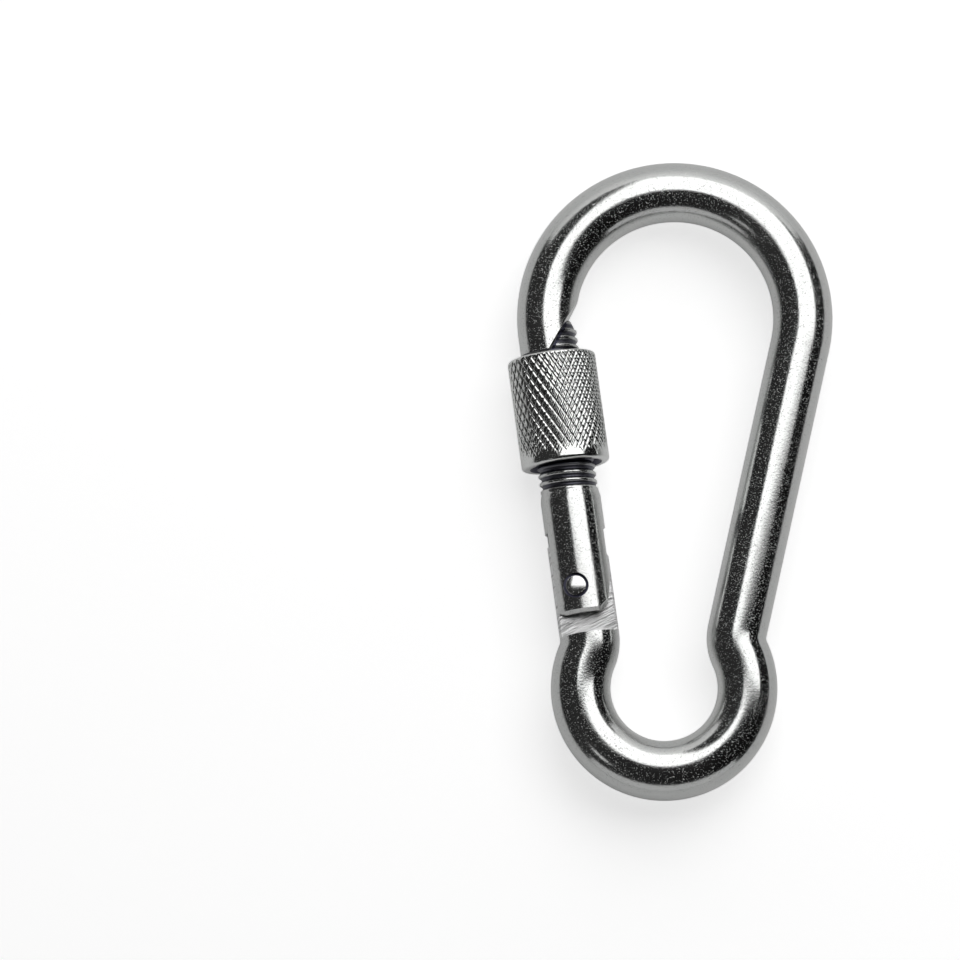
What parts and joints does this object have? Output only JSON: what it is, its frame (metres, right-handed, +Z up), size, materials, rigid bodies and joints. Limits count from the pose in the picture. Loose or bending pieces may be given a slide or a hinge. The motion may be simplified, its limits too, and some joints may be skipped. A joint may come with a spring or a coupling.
{
  "type": "screw-gate carabiner",
  "caption": "Pear-shaped bent-bar carabiner with a small eye, a sprung pivoting gate and a knurled screw sleeve that locks the gate over the nose.",
  "frame": {"origin": "bottom centre of the box: the hook lies flat, and the lowest line of the locking nut touches the surface", "axes": "+Z up, out of the hook's plane, along the pivot; +Y from the small eye to the big bow; +X from the gate to the spine"},
  "size_m": [0.0404, 0.0802, 0.011],
  "materials": {
    "plated_bar": "bright zinc plate over drawn and bent bar, fine orange-peel speckle, milled tang left rough",
    "plated_gate": "bright zinc plate over turned bar",
    "knurled_nut": "bright zinc plate over a diamond knurl",
    "rivet_steel": "plain steel, staked and polished ends",
    "plunger_steel": "turned steel, lightly oiled",
    "spring_steel": "drawn spring wire"
  },
  "bodies": {
    "frame": {"hook_frame": "plated_bar"},
    "gate": {"gate": "plated_gate", "pivot_rivet": "rivet_steel", "gate_spring": "spring_steel"},
    "nut": {"locking_nut": "knurled_nut"},
    "plunger": {"spring_plunger": "plunger_steel"}
  },
  "joints": [
    {"name": "gate_swing", "type": "hinge", "parent": "frame", "child": "gate", "pos_m": [-0.0117, -0.01379, 0.0055], "axis": [0, 0, -1], "range_deg": [0, 36], "stiffness_Nm_per_rad": 0.012, "springref_deg": -45.84},
    {"name": "nut_screw", "type": "slide", "parent": "gate", "child": "nut", "axis": [-0.1374, 0.9905, 0], "range_m": [-0.0032, 0.0027]},
    {"name": "plunger_travel", "type": "slide", "parent": "gate", "child": "plunger", "axis": [-0.1374, 0.9905, 0], "range_m": [0, 0.00096], "deforming": ["gate_spring"]}
  ],
  "couplings": [
    {"joint": "plunger_travel", "follows": "gate_swing", "m_per_rad": 0.0015}
  ]
}
